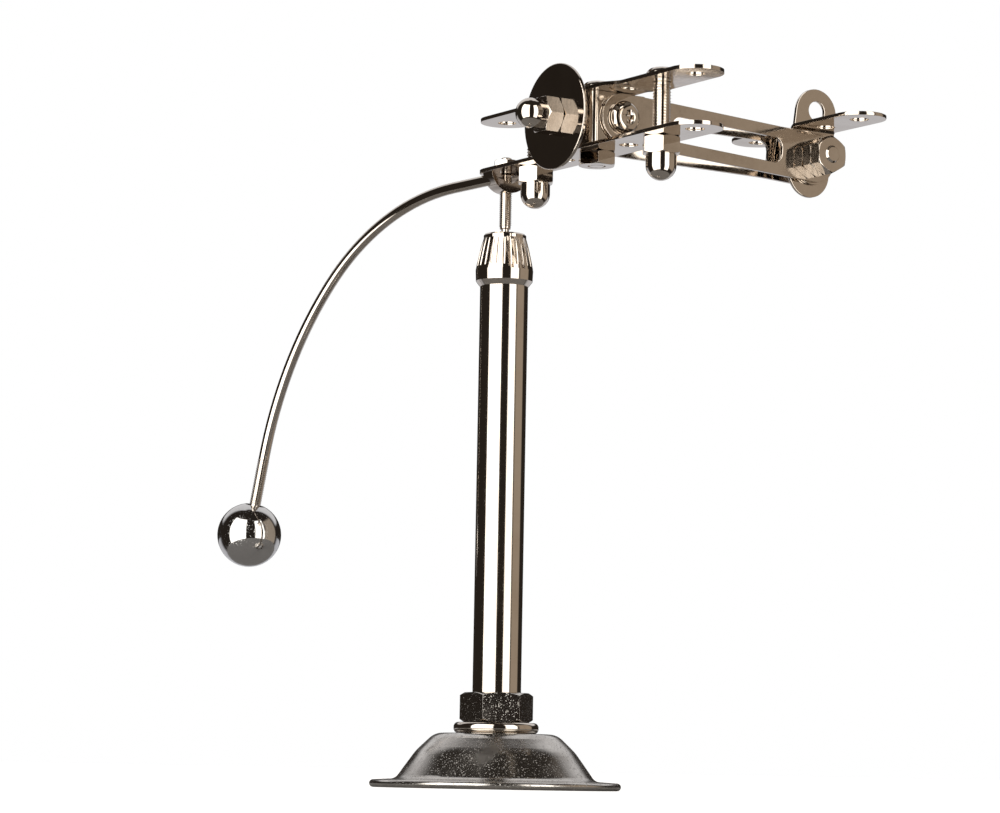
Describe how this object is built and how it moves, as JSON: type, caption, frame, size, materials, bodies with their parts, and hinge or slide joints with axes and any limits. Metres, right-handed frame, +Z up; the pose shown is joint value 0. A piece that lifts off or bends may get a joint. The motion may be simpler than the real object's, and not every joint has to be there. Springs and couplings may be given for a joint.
{
  "type": "balancing toy aeroplane",
  "caption": "Strip-metal toy biplane balanced on a column stand by a curved rod and ball; it tilts, swivels and spins its nose disc.",
  "frame": {"origin": "the column axis at the table, in the middle of the round foot", "axes": "+Z up the column; the aeroplane flies towards -X and its left wing tip points to -Y"},
  "size_m": [0.0977, 0.1707, 0.1683],
  "materials": {
    "plated_steel": "polished",
    "plated_strip": "polished",
    "plated_dome": "satin",
    "plain_steel": "satin"
  },
  "bodies": {
    "stand": {"base_dome": "plated_dome", "base_washer": "plated_steel", "column_nut": "plated_steel", "under_washer": "plain_steel", "under_nut": "plain_steel", "base_stud": "plain_steel", "column_plug": "plain_steel", "column_tube": "plated_steel", "column_cap": "plated_steel"},
    "pivot_swivel": {"pivot_cup": "plain_steel"},
    "pivot_ball": {"pivot_tip": "plain_steel"},
    "aeroplane": {"pivot_stud": "plated_steel", "stud_nut": "plated_steel", "saddle": "plated_steel", "counterweight_rod": "plated_steel", "counterweight_ball": "plated_steel", "upper_wing": "plated_strip", "lower_wing": "plated_strip", "strut_screws": "plated_steel", "strut_acorn_nuts": "plated_steel", "centre_screw": "plated_steel", "centre_nut": "plated_steel", "nose_bracket": "plated_strip", "side_screws": "plated_steel", "side_nuts": "plated_steel", "nose_screw": "plated_steel", "nose_nut": "plated_steel", "nose_spacer": "plated_steel", "nose_acorn_nut": "plated_steel", "left_plate": "plated_strip", "right_plate": "plated_strip", "tail_bolt": "plated_steel", "tail_spacer": "plated_steel", "tail_nuts": "plated_steel", "tail_fin": "plated_steel", "left_tailplane": "plated_strip", "right_tailplane": "plated_strip"},
    "propeller": {"propeller_disc": "plated_strip"}
  },
  "joints": [
    {"name": "swivel", "type": "hinge", "parent": "stand", "child": "pivot_swivel", "pos_m": [0, 0, 0.131], "axis": [0, 0, 1], "continuous": true},
    {"name": "pitch", "type": "hinge", "parent": "pivot_swivel", "child": "pivot_ball", "pos_m": [0, 0, 0.131], "axis": [0, 1, 0], "range_deg": [-15, 15]},
    {"name": "roll", "type": "hinge", "parent": "pivot_ball", "child": "aeroplane", "pos_m": [0, 0, 0.131], "axis": [1, 0, 0], "range_deg": [-15, 15]},
    {"name": "nose_disc_spin", "type": "hinge", "parent": "aeroplane", "child": "propeller", "pos_m": [-0.01165, -0.0381, 0.15385], "axis": [1, 0, 0], "continuous": true}
  ]
}
